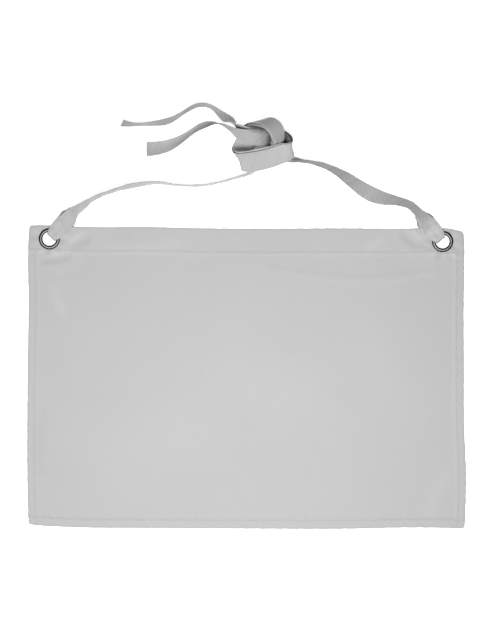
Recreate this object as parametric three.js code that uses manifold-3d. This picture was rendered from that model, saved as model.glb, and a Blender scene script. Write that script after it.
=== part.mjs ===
// A waist apron laid flat: one cloth panel with folded edges, two metal eyelets, and two flat ties
// that run from the eyelets to one loose knot. Millimetres, +Z up, the floor at z = 0.
import * as THREE from 'three';
import Module from 'manifold-3d';
import { mergeVertices } from 'three/addons/utils/BufferGeometryUtils.js';

// Driving dimensions of the panel
const panelWidth = 730;
const panelHeight = 503;
const clothThick = 1.0;
const waistbandHeight = 42;
const waistbandExtra = 1.4;
const sideHem = 15;
const bottomHem = 15;
const hemExtra = 1.2;
const seamSlope = 3;

// Driving dimensions of the eyelets and their back washers
const eyeletInset = 36;
const eyeletDrop = 22.2;
const eyeletHole = 23;
const eyeletOuter = 35.5;
const flangeRise = 2.0;
const barrelWall = 0.8;
const lipReach = 1.6;
const lipThick = 0.6;
const washerOuter = 32;
const washerThick = 0.8;

// Driving dimensions of the ties
const tapeWidth = 34;
const tapeThick = 1.6;
const tieRise = 210;
const foldSet = 2.5;
const sewnReach = 62;

// Clearances
const seatGap = 0.3;
const layerGap = 0.9;
const pairGap = 1.8;

// How far round an eyelet the waistband lies level, and over what length it falls to the floor
const liftFlat = 27;
const liftFall = 46;

// Fineness of the solids: sides of a ring, steps along a tape, and the panel's grid lines round an
// eyelet, beside it and below the waistband
const ringSides = 20;
const tapeStep = 5;
const knotStep = 2.6;
const relaxPasses = 5;
const eyeletLines = [-12, 0, 12];
const besideLines = [26, 40, 56, 76];
const belowLines = [12, 28, 50];
const widestColumn = 62;
const deepestRow = 70;

const halfWidth = panelWidth / 2;
const eyeletSpan = panelWidth - 2 * eyeletInset;
const layerStep = tapeThick + layerGap;
const pairStep = tapeThick + pairGap;

// The levels of the stack at an eyelet, from the floor up
const lipUnder = tapeThick + seatGap;
const washerUnder = lipUnder + lipThick + seatGap;
const bandUnder = washerUnder + washerThick + seatGap;
const bandOver = bandUnder + clothThick + waistbandExtra;
const flangeUnder = bandOver + seatGap;
const flangeOver = flangeUnder + flangeRise;

// How far the cut edges stand out from a true rectangle: shares of the panel's width down the two
// sides, and of its height along the top and the bottom.
const sideSway = [
  { share: 0.0, left: -0.0037, right: -0.0014 },
  { share: 0.03, left: -0.0019, right: 0.0 },
  { share: 0.1, left: 0.0, right: 0.0007 },
  { share: 0.25, left: -0.0012, right: -0.0004 },
  { share: 0.45, left: 0.0007, right: 0.0 },
  { share: 0.65, left: 0.0021, right: 0.0005 },
  { share: 0.82, left: 0.002, right: 0.0048 },
  { share: 0.93, left: 0.0007, right: 0.0037 },
  { share: 1.0, left: -0.0011, right: 0.0016 },
];
const endSway = [
  { share: 0.0, top: 0.0086, bottom: -0.014 },
  { share: 0.03, top: 0.0096, bottom: -0.009 },
  { share: 0.065, top: 0.0074, bottom: -0.0064 },
  { share: 0.13, top: 0.0038, bottom: -0.0028 },
  { share: 0.27, top: 0.004, bottom: -0.0014 },
  { share: 0.38, top: 0.0004, bottom: -0.0004 },
  { share: 0.5, top: -0.0016, bottom: 0.0008 },
  { share: 0.74, top: -0.0004, bottom: 0.0012 },
  { share: 0.86, top: -0.002, bottom: -0.0026 },
  { share: 0.955, top: -0.0004, bottom: -0.0016 },
  { share: 0.985, top: -0.007, bottom: -0.0004 },
  { share: 1.0, top: -0.014, bottom: -0.0006 },
];

// The domed ring of an eyelet's flange, from its outer edge inwards: place is a share of the ring's
// width and rise of its height.
const flangeShape = [
  { place: 0, rise: 0 },
  { place: 0.06, rise: 0.6 },
  { place: 0.25, rise: 0.9 },
  { place: 0.5, rise: 1 },
  { place: 0.75, rise: 0.85 },
  { place: 1, rise: 0.4 },
];

// The knot's middle, as shares of the span between the eyelets and of the ties' rise
const knotPlace = { along: 0.541, up: 0.664 };

// Rows of the tape tables. x and y are the middle of the tape; leanX and leanY say how far its upper
// edge leans out from its lower edge, as shares of its width; over is the number of tape layers under
// its lower edge and foot its further height; gather is the share of the full width that is left.
// In the knot both ties run side by side, and all lengths are shares of the tape's width. slip is how
// far the left tie is shifted towards the upper edge of the right one.
const knotRows = [
  { x: -0.67, y: 0.44, leanX: 0.13, leanY: 0.66, over: 2, foot: 0.12, gather: 1 },
  { x: -0.3, y: 0.4, leanX: 0.1, leanY: 0.74, over: 2, foot: 0.12, gather: 1 },
  { x: 0.07, y: 0.36, leanX: 0.05, leanY: 0.8, over: 2, foot: 0.1, gather: 1 },
  { x: 0.48, y: 0.37, leanX: 0.02, leanY: 0.82, over: 1, foot: 0.05, gather: 0.92 },
  { x: 0.87, y: 0.35, leanX: 0.03, leanY: 0.87, over: 0, foot: 0, gather: 0.9 },
  { x: 1.1, y: 0.22, leanX: 0.04, leanY: 0.84, over: 0, foot: 0, gather: 0.94 },
  { x: 1.28, y: 0.12, leanX: 0.04, leanY: 0.8, over: 0, foot: 0.02, gather: 0.97 },
  { x: 1.4, y: 0.01, leanX: 0.02, leanY: 0.76, over: 1, foot: 0, gather: 1 },
  { x: 1.44, y: -0.12, leanX: -0.02, leanY: 0.74, over: 1, foot: 0.05, gather: 1 },
  { x: 1.39, y: -0.25, leanX: -0.06, leanY: 0.78, over: 2, foot: 0.03, gather: 1 },
  { x: 1.25, y: -0.34, leanX: -0.12, leanY: 0.83, over: 2, foot: 0.07, gather: 1 },
  { x: 1.0, y: -0.41, leanX: -0.2, leanY: 0.88, over: 2, foot: 0.1, gather: 1, slip: 0.03 },
  { x: 0.49, y: -0.59, leanX: -0.23, leanY: 0.9, over: 2, foot: 0.12, gather: 1, slip: 0.06 },
  { x: -0.2, y: -0.75, leanX: -0.23, leanY: 0.92, over: 2, foot: 0.14, gather: 1, slip: 0.1 },
  { x: -0.71, y: -0.83, leanX: -0.32, leanY: 0.87, over: 2, foot: 0.15, gather: 1, slip: 0.06 },
  { x: -1.02, y: -0.81, leanX: -0.36, leanY: 0.83, over: 2, foot: 0.07, gather: 1, slip: 0.08 },
  { x: -1.17, y: -0.69, leanX: -0.45, leanY: 0.8, over: 1, foot: 0.04, gather: 1, slip: 0.05 },
  { x: -1.13, y: -0.52, leanX: -0.58, leanY: 0.77, over: 0, foot: 0.02, gather: 1, slip: 0.02 },
  { x: -1.01, y: -0.27, leanX: -0.72, leanY: 0.68, over: 0, foot: 0, gather: 1 },
  { x: -0.85, y: 0.04, leanX: -0.83, leanY: 0.55, over: 0, foot: 0, gather: 1 },
  { x: -0.62, y: 0.41, leanX: -0.92, leanY: 0.37, over: 0, foot: 0, gather: 1 },
  { x: -0.44, y: 0.74, leanX: -0.98, leanY: 0.17, over: 0, foot: 0, gather: 1 },
  { x: -0.34, y: 0.98, leanX: -0.97, leanY: -0.1, over: 0, foot: 0.12, gather: 1 },
  { x: -0.28, y: 1.08, leanX: -0.94, leanY: -0.2, over: 0, foot: 0.5, gather: 1 },
  { x: -0.07, y: 1.12, leanX: -0.86, leanY: -0.28, over: 0, foot: 0.84, gather: 1 },
  { x: 0.28, y: 1.06, leanX: -0.66, leanY: -0.29, over: 0, foot: 0.93, gather: 1 },
  { x: 0.55, y: 0.88, leanX: -0.59, leanY: -0.33, over: 0, foot: 0.93, gather: 1 },
  { x: 0.74, y: 0.61, leanX: -0.59, leanY: -0.31, over: 0, foot: 0.82, gather: 0.97 },
  { x: 0.8, y: 0.35, leanX: -0.66, leanY: -0.2, over: 0, foot: 0.72, gather: 0.78 },
  { x: 0.76, y: 0.14, leanX: -0.7, leanY: -0.1, over: 0, foot: 0.53, gather: 0.63 },
  { x: 0.66, y: 0.03, leanX: -0.82, leanY: 0.16, over: 0, foot: 0.3, gather: 0.48 },
  { x: 0.6, y: -0.2, leanX: -0.93, leanY: 0.1, over: 0, foot: 0.1, gather: 0.46 },
];

// Where the two free ends fan apart on their way into the knot, in the same shares. pair is how many
// times further apart the ties lie than in the knot.
const entryRows = [
  { x: -1.29, y: 0.73, leanX: 0.1, leanY: 0.32, over: 2, foot: 0.1, gather: 1, pair: 2.8 },
  { x: -0.97, y: 0.56, leanX: 0.12, leanY: 0.54, over: 2, foot: 0.12, gather: 1, pair: 1.7 },
];

// Where the left tie leaves the knot, in the same shares
const leftExit = [
  { x: 0.47, y: -0.3, leanX: -0.66, leanY: 0.72, over: 0, foot: 0, gather: 0.58 },
  { x: 0.1, y: -0.62, leanX: -0.68, leanY: 0.7, over: 0, foot: 0, gather: 0.54 },
  { x: -0.24, y: -1.02, leanX: -0.6, leanY: 0.68, over: 0, foot: 0, gather: 0.42 },
  { x: -0.49, y: -1.32, leanX: -0.42, leanY: 0.5, over: 0, foot: 0, gather: 0.34 },
  { x: -0.7, y: -1.48, leanX: -0.1, leanY: 0.1, over: 0, foot: 0, gather: 0.36 },
  { x: -0.98, y: -1.54, leanX: -0.03, leanY: 0.1, over: 0, foot: 0, gather: 0.66 },
];

// Where the right tie leaves the knot, in the same shares
const rightExit = [
  { x: 0.72, y: -0.42, leanX: -0.95, leanY: -0.15, over: 1, foot: 0.13, gather: 0.42 },
  { x: 0.97, y: -0.61, leanX: -0.8, leanY: -0.55, over: 0, foot: 0.05, gather: 0.4 },
  { x: 1.3, y: -0.69, leanX: -0.35, leanY: -0.85, over: 0, foot: 0, gather: 0.4 },
  { x: 1.66, y: -0.74, leanX: -0.08, leanY: -0.3, over: 0, foot: 0, gather: 0.5 },
  { x: 2.05, y: -0.8, leanX: -0.05, leanY: -0.22, over: 0, foot: 0, gather: 0.8 },
];

// The free ends and the long runs. x is a share of the span between the eyelets and y of the ties'
// rise; the leans, foot and gather are shares of the tape's width, as above.
const leftTail = [
  { x: 0.2487, y: 0.629, leanX: -0.2, leanY: -0.74, over: 0, foot: 0, gather: 1 },
  { x: 0.281, y: 0.637, leanX: -0.2, leanY: -0.64, over: 0, foot: 0, gather: 1 },
  { x: 0.313, y: 0.668, leanX: -0.24, leanY: -0.56, over: 0, foot: 0, gather: 1 },
  { x: 0.347, y: 0.731, leanX: -0.24, leanY: -0.45, over: 0, foot: 0, gather: 1 },
  { x: 0.383, y: 0.808, leanX: -0.16, leanY: -0.34, over: 0, foot: 0, gather: 1 },
  { x: 0.413, y: 0.834, leanX: 0.0, leanY: -0.14, over: 0, foot: 0, gather: 1 },
  { x: 0.439, y: 0.82, leanX: 0.0, leanY: 0.08, over: 0, foot: 0.1, gather: 1 },
];
const rightTail = [
  { x: 0.184, y: 0.836, leanX: 0.14, leanY: -0.4, over: 0, foot: 0, gather: 1 },
  { x: 0.2, y: 0.825, leanX: 0.06, leanY: -0.28, over: 0, foot: 0, gather: 1 },
  { x: 0.22, y: 0.823, leanX: 0.0, leanY: -0.19, over: 0, foot: 0, gather: 1 },
  { x: 0.266, y: 0.834, leanX: 0.0, leanY: -0.2, over: 0, foot: 0, gather: 1 },
  { x: 0.298, y: 0.847, leanX: -0.1, leanY: -0.3, over: 0, foot: 0, gather: 1 },
  { x: 0.321, y: 0.876, leanX: -0.16, leanY: -0.3, over: 0, foot: 0, gather: 1 },
  { x: 0.347, y: 0.93, leanX: -0.12, leanY: -0.22, over: 0, foot: 0, gather: 1 },
  { x: 0.381, y: 0.984, leanX: 0.0, leanY: -0.14, over: 0, foot: 0, gather: 1 },
  { x: 0.414, y: 0.964, leanX: -0.1, leanY: -0.22, over: 0, foot: 0, gather: 1 },
  { x: 0.4385, y: 0.9, leanX: -0.25, leanY: -0.41, over: 0, foot: 0.08, gather: 1 },
  { x: 0.4575, y: 0.856, leanX: -0.26, leanY: -0.42, over: 0, foot: 0.2, gather: 1 },
];
const leftRun = [
  { x: 0.45, y: 0.376, leanX: 0.0, leanY: 0.05, over: 0, foot: 0, gather: 1 },
  { x: 0.39, y: 0.339, leanX: 0.0, leanY: 0.05, over: 0, foot: 0, gather: 1 },
  { x: 0.33, y: 0.339, leanX: 0.0, leanY: 0.05, over: 0, foot: 0, gather: 1 },
  { x: 0.275, y: 0.361, leanX: 0.0, leanY: 0.1, over: 0, foot: 0, gather: 1 },
  { x: 0.213, y: 0.338, leanX: -0.03, leanY: 0.2, over: 0, foot: 0, gather: 1 },
  { x: 0.165, y: 0.299, leanX: -0.04, leanY: 0.12, over: 0, foot: 0, gather: 1 },
  { x: 0.114, y: 0.238, leanX: -0.08, leanY: 0.13, over: 0, foot: 0, gather: 1 },
  { x: 0.0865, y: 0.179, leanX: -0.2, leanY: 0.24, over: 0, foot: 0, gather: 1 },
];
const rightRun = [
  { x: 0.7, y: 0.496, leanX: -0.06, leanY: -0.27, over: 0, foot: 0, gather: 1 },
  { x: 0.737, y: 0.438, leanX: -0.19, leanY: -0.41, over: 0, foot: 0, gather: 1 },
  { x: 0.769, y: 0.37, leanX: -0.31, leanY: -0.52, over: 0, foot: 0, gather: 1 },
  { x: 0.81, y: 0.282, leanX: -0.38, leanY: -0.66, over: 0, foot: 0, gather: 1 },
  { x: 0.85, y: 0.234, leanX: -0.18, leanY: -0.65, over: 0, foot: 0, gather: 1 },
  { x: 0.885, y: 0.215, leanX: -0.12, leanY: -0.42, over: 0, foot: 0, gather: 1 },
  { x: 0.916, y: 0.184, leanX: -0.27, leanY: -0.35, over: 0, foot: 0, gather: 1 },
];

// The tape near an eyelet, seen from the hole outwards: reach and width are shares of the sewn
// length and of the tape's width, lift is the share of the flange's height that is left under it,
// and lean how steeply it stands on its lower edge.
const loopRows = [
  { reach: 0.2, width: 0.74, lift: 1, lean: 0 },
  { reach: 0.32, width: 0.82, lift: 1, lean: 0 },
  { reach: 0.46, width: 0.86, lift: 1, lean: 0.08 },
  { reach: 0.61, width: 0.88, lift: 0.86, lean: 0.42 },
  { reach: 0.78, width: 0.93, lift: 0.5, lean: 0.68 },
  { reach: 0.97, width: 0.98, lift: 0.1, lean: 0.86 },
];

// Degrees round the bend through the hole, how much narrower the tape is there, and where the
// returning end rises to be sewn
const bendTurns = [90, 60, 30, 0, -30, -60, -90];
const holeSqueeze = 0.21;
const returnRise = { from: 0.64, length: 0.3 };

function between(rows, share, column) {
  const last = rows.length - 1;
  if (share <= rows[0].share) return rows[0][column];
  for (let i = 0; i < last; i++) {
    const low = rows[i];
    const high = rows[i + 1];
    if (share <= high.share) {
      const part = (share - low.share) / (high.share - low.share);
      return low[column] + (high[column] - low[column]) * part;
    }
  }
  return rows[last][column];
}

function smooth(value) {
  const part = Math.min(Math.max(value, 0), 1);
  return part * part * (3 - 2 * part);
}

// The top edge's height at x, and the two eyelets' middles
function topEdge(x) {
  return panelHeight * between(endSway, (x + halfWidth) / panelWidth, 'top');
}

function eyeletAt(side) {
  const x = side * (halfWidth - eyeletInset);
  return new THREE.Vector3(x, topEdge(x) - eyeletDrop, 0);
}

const eyelets = {
  left: { middle: eyeletAt(-1), heading: THREE.MathUtils.degToRad(47) },
  right: { middle: eyeletAt(1), heading: THREE.MathUtils.degToRad(130.5) },
};

// The waistband rides up over the tape that returns under it: full height round each eyelet and
// along the tape to the top edge, then a soft fall to the floor.
function liftAt(x, y) {
  let lift = 0;
  for (const { middle, heading } of Object.values(eyelets)) {
    const run = Math.hypot(x - middle.x, y - middle.y);
    const along = (x - middle.x) * Math.cos(heading) + (y - middle.y) * Math.sin(heading);
    const aside = Math.sqrt(Math.max(run * run - along * along, 0));
    const near = along > 0 ? aside : run;
    lift = Math.max(lift, bandUnder * (1 - smooth((near - liftFlat) / liftFall)));
  }
  return lift;
}

function thickAt(x, y) {
  const fromSide = halfWidth - Math.abs(x);
  const inBand = 1 - smooth((-y - waistbandHeight) / seamSlope);
  const inSide = 1 - smooth((fromSide - sideHem) / seamSlope);
  const inFoot = 1 - smooth((y + panelHeight - bottomHem) / seamSlope);
  const extra = waistbandExtra * inBand + hemExtra * Math.max(inSide, inFoot);
  return clothThick + extra;
}

// Grid lines from one end to the other, closer together where the list of stops is
function gridLines(stops, widest) {
  const lines = [];
  const sorted = [...new Set(stops)].sort((a, b) => a - b);
  for (let i = 0; i < sorted.length - 1; i++) {
    const steps = Math.ceil((sorted[i + 1] - sorted[i]) / widest);
    for (let j = 0; j < steps; j++) lines.push(sorted[i] + ((sorted[i + 1] - sorted[i]) * j) / steps);
  }
  lines.push(sorted[sorted.length - 1]);
  return lines;
}

function meshFrom(positions, triangles) {
  const geometry = new THREE.BufferGeometry();
  geometry.setAttribute('position', new THREE.Float32BufferAttribute(positions, 3));
  geometry.setIndex(triangles);
  return geometry;
}

function panelSheet() {
  const across = [-halfWidth, halfWidth];
  const down = [0, -panelHeight];
  for (const side of [-1, 1]) {
    const eyeletX = side * (halfWidth - eyeletInset);
    for (const step of eyeletLines) across.push(eyeletX + step);
    across.push(side * (halfWidth - sideHem), side * (halfWidth - sideHem - seamSlope));
    for (const step of besideLines) across.push(eyeletX - side * step);
  }
  for (const step of eyeletLines) down.push(-eyeletDrop + step);
  down.push(-waistbandHeight, -waistbandHeight - seamSlope);
  for (const step of belowLines) down.push(-waistbandHeight - step);
  down.push(bottomHem - panelHeight, bottomHem + seamSlope - panelHeight);
  const xs = gridLines(across, widestColumn);
  const ys = gridLines(down, deepestRow);
  const positions = [];
  for (const layer of ['under', 'over']) {
    for (const y of ys) {
      for (const x of xs) {
        const shareX = (x + halfWidth) / panelWidth;
        const shareY = -y / panelHeight;
        const left = -panelWidth * between(sideSway, shareY, 'left') * (1 - shareX);
        const right = panelWidth * between(sideSway, shareY, 'right') * shareX;
        const top = panelHeight * between(endSway, shareX, 'top') * (1 - shareY);
        const bottom = -panelHeight * between(endSway, shareX, 'bottom') * shareY;
        const lift = liftAt(x, y + top);
        const z = layer === 'under' ? lift : lift + thickAt(x, y);
        positions.push(x + left + right, y + top + bottom, z);
      }
    }
  }
  const triangles = [];
  const wide = xs.length;
  const deep = ys.length;
  const one = wide * deep;
  for (let j = 0; j < deep - 1; j++) {
    for (let i = 0; i < wide - 1; i++) {
      const a = j * wide + i;
      const b = a + 1;
      const c = a + wide;
      const d = c + 1;
      triangles.push(a, d, b, a, c, d);
      triangles.push(one + a, one + b, one + d, one + a, one + d, one + c);
    }
  }
  const rim = [];
  for (let i = 0; i < wide - 1; i++) rim.push(i);
  for (let j = 0; j < deep - 1; j++) rim.push(j * wide + wide - 1);
  for (let i = wide - 1; i > 0; i--) rim.push((deep - 1) * wide + i);
  for (let j = deep - 1; j > 0; j--) rim.push(j * wide);
  rim.forEach((a, i) => {
    const b = rim[(i + 1) % rim.length];
    triangles.push(a, b, one + b, a, one + b, one + a);
  });
  return meshFrom(positions, triangles);
}

// Cutting, with closed meshes as solids
const wasm = await Module();
wasm.setup();

function solidOf(geometry) {
  const bare = geometry.clone();
  bare.deleteAttribute('normal');
  bare.deleteAttribute('uv');
  const merged = mergeVertices(bare, 1e-4);
  const vertProperties = new Float32Array(merged.attributes.position.array);
  const triVerts = new Uint32Array(merged.index.array);
  return new wasm.Manifold(new wasm.Mesh({ numProp: 3, vertProperties, triVerts }));
}

function geometryOf(solid) {
  const mesh = solid.getMesh();
  return meshFrom(Array.from(mesh.vertProperties), Array.from(mesh.triVerts));
}

function buildPanel() {
  let solid = solidOf(panelSheet());
  const holeRadius = eyeletHole / 2 + barrelWall + seatGap;
  for (const { middle } of Object.values(eyelets)) {
    const punch = new THREE.CylinderGeometry(holeRadius, holeRadius, flangeOver * 4, ringSides);
    punch.rotateX(Math.PI / 2);
    punch.translate(middle.x, middle.y, 0);
    solid = solid.subtract(solidOf(punch));
  }
  return geometryOf(solid);
}

// A ring turned about the vertical from a closed outline of [radius, height] points
function turned(outline) {
  const points = outline.map(([radius, height]) => new THREE.Vector2(radius, height));
  points.push(points[0].clone());
  const ring = new THREE.LatheGeometry(points, ringSides);
  ring.rotateX(Math.PI / 2);
  return ring;
}

function buildEyelet() {
  const hole = eyeletHole / 2;
  const barrel = hole + barrelWall;
  const rim = eyeletOuter / 2;
  const dome = flangeShape.map(({ place, rise }) => {
    return [rim - (rim - hole) * place, flangeUnder + flangeRise * rise];
  });
  return turned([
    [hole, lipUnder + lipThick],
    [hole + barrelWall / 2, lipUnder],
    [barrel + lipReach, lipUnder],
    [barrel + lipReach, lipUnder + lipThick],
    [barrel, lipUnder + lipThick],
    [barrel, flangeUnder],
    ...dome,
  ]);
}

function buildWasher() {
  const inner = eyeletHole / 2 + barrelWall + seatGap;
  const outer = washerOuter / 2;
  return turned([
    [inner, washerUnder],
    [outer - washerThick / 2, washerUnder],
    [outer, washerUnder + washerThick / 2],
    [outer, washerUnder + washerThick],
    [inner, washerUnder + washerThick],
  ]);
}

// Tape rows become stations: a middle, the direction across the tape, its width, and the height of
// its lower edge. pair is 1 where both ties run side by side, the next number is 0 near the eyelet,
// where the tape is held, and the last is the slip.
function stationOf(row, x, y, pair) {
  const flat = Math.min(row.leanX ** 2 + row.leanY ** 2, 1);
  const across = new THREE.Vector3(row.leanX, row.leanY, Math.sqrt(1 - flat)).normalize();
  const low = row.over * pairStep + row.foot * tapeWidth;
  const slip = (row.slip ?? 0) * tapeWidth;
  return [x, y, low, across.x, across.y, across.z, row.gather * tapeWidth, pair, 1, slip];
}

function knotStations(rows, together) {
  const middleX = -eyeletSpan / 2 + knotPlace.along * eyeletSpan;
  const middleY = knotPlace.up * tieRise;
  return rows.map((row) => {
    const x = middleX + row.x * tapeWidth;
    return stationOf(row, x, middleY + row.y * tapeWidth, together * (row.pair ?? 1));
  });
}

function runStations(rows) {
  return rows.map((row) => stationOf(row, (row.x - 0.5) * eyeletSpan, row.y * tieRise, 0));
}

// The stretch that rides over the eyelet and dives through it
function loopStations({ middle, heading }) {
  const out = new THREE.Vector3(Math.cos(heading), Math.sin(heading), 0);
  const cross = new THREE.Vector3(-out.y, out.x, 0);
  const station = (reach, low, lean, width) => {
    const at = middle.clone().addScaledVector(out, reach);
    const across = cross.clone().multiplyScalar(Math.sqrt(1 - lean * lean));
    return [at.x, at.y, low, across.x, across.y, lean, width * tapeWidth, 0, 0, 0];
  };
  const topLevel = flangeOver + seatGap;
  const over = loopRows.map((row) => {
    const level = topLevel * row.lift + layerStep * (1 - row.lift);
    return station(row.reach * sewnReach, level, row.lean, row.width);
  });
  const radius = topLevel / 2;
  const bendReach = foldSet + tapeThick / 2 + radius;
  const through = bendTurns.map((turn) => {
    const angle = THREE.MathUtils.degToRad(turn);
    const reach = bendReach - radius * Math.cos(angle);
    const level = radius + tapeThick / 2 + radius * Math.sin(angle);
    const low = level - (tapeThick / 2) * Math.abs(Math.sin(angle));
    return station(reach, low, 0, loopRows[0].width - holeSqueeze * Math.cos(angle / 2));
  });
  return [...over.reverse(), ...through];
}

// A smooth line through the stations, by chord lengths, so that close stations stay tight
function spread(stations) {
  const last = stations.length - 1;
  const gap = (a, b) => Math.max(Math.hypot(b[0] - a[0], b[1] - a[1], b[2] - a[2]), 0.01);
  const blend = (a, b, low, high, at) => {
    const share = (at - low) / (high - low);
    return a.map((value, i) => value + (b[i] - value) * share);
  };
  const line = [];
  for (let i = 0; i < last; i++) {
    const second = stations[i];
    const third = stations[i + 1];
    const first = i > 0 ? stations[i - 1] : second.map((value, k) => 2 * value - third[k]);
    const fourth = i + 1 < last ? stations[i + 2] : third.map((value, k) => 2 * value - second[k]);
    const t0 = 0;
    const t1 = t0 + Math.sqrt(gap(first, second));
    const t2 = t1 + Math.sqrt(gap(second, third));
    const t3 = t2 + Math.sqrt(gap(third, fourth));
    const step = second[7] + third[7] > 0 ? knotStep : tapeStep;
    const steps = Math.max(Math.round(gap(second, third) / step), 1);
    for (let j = 0; j < steps; j++) {
      const at = t1 + ((t2 - t1) * j) / steps;
      const a = blend(first, second, t0, t1, at);
      const b = blend(second, third, t1, t2, at);
      const c = blend(third, fourth, t2, t3, at);
      const row = blend(blend(a, b, t0, t2, at), blend(b, c, t1, t3, at), t1, t2, at);
      row[2] = Math.max(row[2], 0);
      row[8] = second[8] * third[8];
      line.push(row);
    }
  }
  line.push(stations[last]);
  return line;
}

// Evens out the line a little, as stiff cloth would, except where the tape is held by its eyelet
function relaxed(line) {
  let rows = line;
  for (let pass = 0; pass < relaxPasses; pass++) {
    rows = rows.map((row, i) => {
      if (i === 0 || i === rows.length - 1) return row;
      const share = row[8] / 2;
      return row.map((value, k) => value * (1 - share) + ((rows[i - 1][k] + rows[i + 1][k]) * share) / 2);
    });
  }
  return rows;
}

// At each point of the line: the tape's middle, the direction across it, and its upward or downward
// side. layer says on which side of the pair the tape lies.
function framesOf(line, layer) {
  const rough = line.map((row) => new THREE.Vector3(row[0], row[1], row[2] + (row[6] * row[5]) / 2));
  return line.map((row, i) => {
    const before = rough[Math.max(i - 1, 0)];
    const after = rough[Math.min(i + 1, line.length - 1)];
    const along = after.clone().sub(before).normalize();
    const across = new THREE.Vector3(row[3], row[4], row[5]);
    across.addScaledVector(along, -across.dot(along)).normalize();
    const normal = along.clone().cross(across).normalize();
    const halfStack = (tapeThick + row[7] * pairStep) / 2;
    const height = row[2] + (row[6] / 2) * Math.abs(across.z) + halfStack * Math.abs(normal.z);
    const middle = new THREE.Vector3(row[0], row[1], height);
    middle.addScaledVector(normal, (layer * row[7] * pairStep) / 2);
    middle.addScaledVector(across, (layer * row[9]) / 2);
    return { middle, across, normal, width: row[6] };
  });
}

// The end that comes back under the waistband and is sewn to the underside of the run above it
function returnFrames(frames, { middle, heading }) {
  const out = new THREE.Vector3(Math.cos(heading), Math.sin(heading), 0);
  const cross = new THREE.Vector3(-out.y, out.x, 0);
  const back = [];
  for (let i = frames.length - 1; i > 0; i--) {
    const frame = frames[i];
    const reach = frame.middle.clone().sub(middle).dot(out);
    if (reach > sewnReach) break;
    if (reach < loopRows[0].reach * sewnReach) continue;
    const joined = smooth((reach / sewnReach - returnRise.from) / returnRise.length);
    const sewn = frame.middle.clone().addScaledVector(frame.normal, pairStep);
    const under = middle.clone().addScaledVector(out, reach);
    under.z = tapeThick / 2;
    const across = cross.clone().lerp(frame.across, joined).normalize();
    const normal = new THREE.Vector3(0, 0, 1).lerp(frame.normal.clone().negate(), joined).normalize();
    back.push({ middle: under.lerp(sewn, joined), across, normal, width: frame.width, returning: true });
  }
  return back;
}

// A tape of rectangular section through the frames. The diagonals of facing sides run alike, so that
// two layers that twist together keep their distance.
function tapeThrough(frames) {
  const positions = [];
  const triangles = [];
  for (const { middle, across, normal, width } of frames) {
    for (const [wide, thick] of [[-1, -1], [1, -1], [1, 1], [-1, 1]]) {
      const corner = middle.clone().addScaledVector(across, (wide * width) / 2);
      corner.addScaledVector(normal, (thick * tapeThick) / 2);
      positions.push(corner.x, corner.y, corner.z);
    }
  }
  const last = frames.length - 1;
  for (let i = 0; i < last; i++) {
    for (let k = 0; k < 4; k++) {
      const a = 4 * i + k;
      const b = 4 * i + ((k + 1) % 4);
      const crossed = frames[i + 1].returning ? k === 0 : k === 2;
      if (crossed) triangles.push(a, b, a + 4, b, b + 4, a + 4);
      else triangles.push(a, b, b + 4, a, b + 4, a + 4);
    }
  }
  triangles.push(0, 2, 1, 0, 3, 2);
  triangles.push(4 * last, 4 * last + 1, 4 * last + 2, 4 * last, 4 * last + 2, 4 * last + 3);
  return meshFrom(positions, triangles);
}

function buildTie(stations, layer, eyelet) {
  const frames = framesOf(relaxed(spread([...stations, ...loopStations(eyelet)])), layer);
  return tapeThrough([...frames, ...returnFrames(frames, eyelet)]);
}

function buildLeftTie() {
  const knot = knotStations([...entryRows, ...knotRows], 1);
  const runs = [...knotStations(leftExit, 0), ...runStations(leftRun)];
  return buildTie([...runStations(leftTail), ...knot, ...runs], 1, eyelets.left);
}

function buildRightTie() {
  const knot = knotStations([...entryRows, ...knotRows], 1);
  const runs = [...knotStations(rightExit, 0), ...runStations(rightRun)];
  return buildTie([...runStations(rightTail), ...knot, ...runs], -1, eyelets.right);
}

const cloth = { color: 0xc8c8c8, roughness: 0.95, metalness: 0 };
const metal = { color: 0x2e2e30, roughness: 0.25, metalness: 1 };

function piece(name, geometry, finish) {
  const mesh = new THREE.Mesh(geometry, new THREE.MeshStandardMaterial(finish));
  mesh.name = name;
  return mesh;
}

const group = new THREE.Group();
group.add(piece('panel', buildPanel(), cloth));
group.add(piece('tie_left', buildLeftTie(), cloth));
group.add(piece('tie_right', buildRightTie(), cloth));
for (const [side, { middle }] of Object.entries(eyelets)) {
  const eyelet = piece(`eyelet_${side}`, buildEyelet(), metal);
  const washer = piece(`washer_${side}`, buildWasher(), metal);
  eyelet.position.copy(middle);
  washer.position.copy(middle);
  group.add(eyelet, washer);
}

// The origin lies on the floor under the middle of the whole
const whole = new THREE.Box3().setFromObject(group).getCenter(new THREE.Vector3());
group.position.set(-whole.x, -whole.y, 0);
group.updateMatrixWorld(true);

export default group;
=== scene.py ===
# A waist apron laid flat, seen from straight above. Sizes are millimetres until a mesh is made.
import math

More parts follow.
